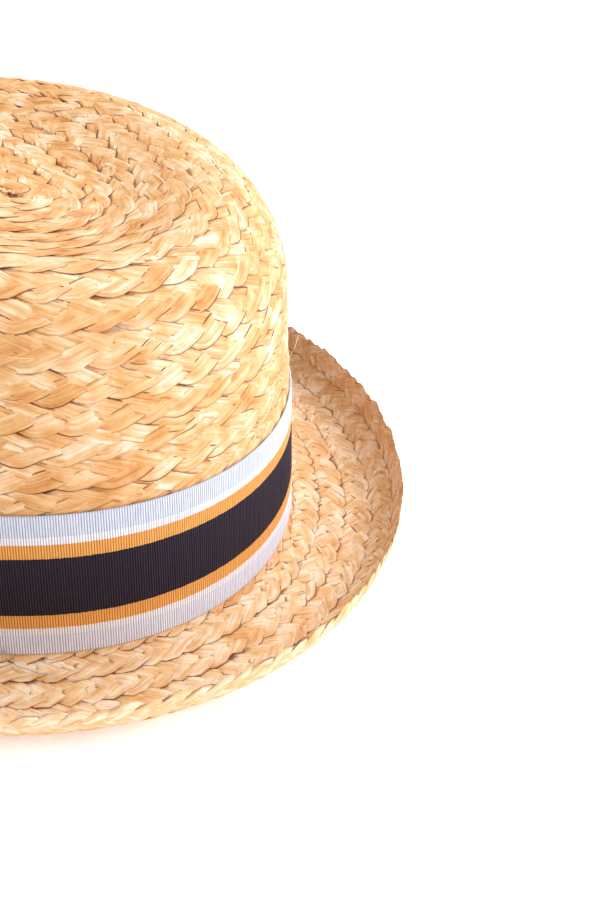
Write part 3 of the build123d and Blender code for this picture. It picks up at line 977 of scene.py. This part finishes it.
tack_runs = []
for tack in range(5):
    angle = math.radians(23 + 72 * tack)
    for shift in (-0.5, 0.35):
        angle_here = angle + shift / HALF_LENGTH
        low = wall_point(angle_here, ribbon_low[2] - 0.9, 1.0)
        bend_out = wall_point(angle_here, ribbon_low[2] - 0.2, 1.75)
        middle = wall_point(angle_here + 0.002, ribbon_low[2] + 1.3, 1.55)
        tack_runs.append([low, bend_out, middle, wall_point(angle_here + 0.004, ribbon_low[2] + 2.6, 1.2)])
loose = math.radians(23 + 72 * 3)
end = [(0.0, 2.0, 1.5), (0.012, 0.6, 2.6), (0.035, -0.2, 4.6), (0.06, 0.4, 6.2), (0.09, 0.2, 7.6)]
end += [(0.125, 0.1, 8.0), (0.15, 0.4, 7.2)]
tack_runs.append([wall_point(loose + a, ribbon_low[2] + dz, f) for a, dz, f in end])
points, quads = tubes(tack_runs, 0.11, 6)
tacks = make_mesh("ribbon_tack_stitches", points, quads)
finish_piece(tacks, tack_material, "tack_thread", "ribbon_tacks")

# ==== wire in the rim's edge ================================================================
WIRE_RUN = rim_row + 1.2
wire_turn = np.arange(720) / 720
wire_line = surface(wire_turn, np.full(720, WIRE_RUN))
points, quads = tubes([wire_line], 0.3, 8, taper=False, closed=True)
wire = make_mesh("rim_wire", points, quads)
finish_piece(wire, wire_material, "wire", "brim_wire")
sleeve_turn = 0.25 + np.linspace(-0.0125, 0.0125, 25)
points, quads = tubes([surface(sleeve_turn, np.full(25, WIRE_RUN))], 0.72, 12, taper=False)
sleeve = make_mesh("rim_wire_sleeve", points, quads)
finish_piece(sleeve, wire_material, "wire", "wire_sleeve")

# ==== camera, light and floor ===============================================================
LOOK_AZIMUTH = math.radians(40.4)
LOOK_DOWN = math.radians(31.3)
LOOK_ROLL = math.radians(3.9)
FOCAL_PIXELS = 1048.0
IMAGE_HEIGHT = 900
camera_data = bpy.data.cameras.new("camera")
camera = bpy.data.objects.new("camera", camera_data)
bpy.context.scene.collection.objects.link(camera)
view = Vector(
    (
        math.sin(LOOK_AZIMUTH) * math.cos(LOOK_DOWN),
        math.cos(LOOK_AZIMUTH) * math.cos(LOOK_DOWN),
        -math.sin(LOOK_DOWN),
    )
)
level_right = Vector((math.cos(LOOK_AZIMUTH), -math.sin(LOOK_AZIMUTH), 0))
level_up = level_right.cross(view)
right = level_right * math.cos(LOOK_ROLL) + level_up * math.sin(LOOK_ROLL)
up = level_up * math.cos(LOOK_ROLL) - level_right * math.sin(LOOK_ROLL)
camera.matrix_world = Matrix.Translation(Vector((-110.1, -271.8, 176.8)) * MM) @ Matrix(
    (
        (right.x, up.x, -view.x, 0),
        (right.y, up.y, -view.y, 0),
        (right.z, up.z, -view.z, 0),
        (0, 0, 0, 1),
    )
)
camera_data.sensor_fit = "VERTICAL"
camera_data.sensor_height = 36.0
camera_data.lens = FOCAL_PIXELS * camera_data.sensor_height / IMAGE_HEIGHT
camera_data.clip_start = 0.01
bpy.context.scene.camera = camera


def lamp(name, place, size, power, colour=(1, 1, 1)):
    """A square soft light that faces the hat."""
    data = bpy.data.lights.new(name, "AREA")
    data.size = size
    data.energy = power
    data.color = colour
    light = bpy.data.objects.new(name, data)
    light.location = place
    light.rotation_euler = (Vector((0, 0, 0.04)) - Vector(place)).to_track_quat("-Z", "Y").to_euler()
    bpy.context.scene.collection.objects.link(light)
    return light


lamp("key", (1.7, -1.65, 1.5), 3.0, 96.0, (0.93, 0.99, 1.12))
lamp("side", (1.6, 0.7, 1.9), 2.0, 42.0)
lamp("bounce", (-1.5, 1.0, 1.6), 2.0, 10.0)
world = bpy.data.worlds.new("studio")
world.use_nodes = True
world.node_tree.nodes["Background"].inputs["Color"].default_value = (1, 0.985, 0.96, 1)
world.node_tree.nodes["Background"].inputs["Strength"].default_value = 0.52
bpy.context.scene.world = world
bpy.context.scene.view_settings.view_transform = "Standard"

FLOOR_HALF = 4000.0
floor_points = [(x * FLOOR_HALF, y * FLOOR_HALF, 0.0) for x, y in ((-1, -1), (1, -1), (1, 1), (-1, 1))]
floor = make_mesh("floor", np.array(floor_points), [[0, 1, 2, 3]])
floor.data.materials.append(floor_look())
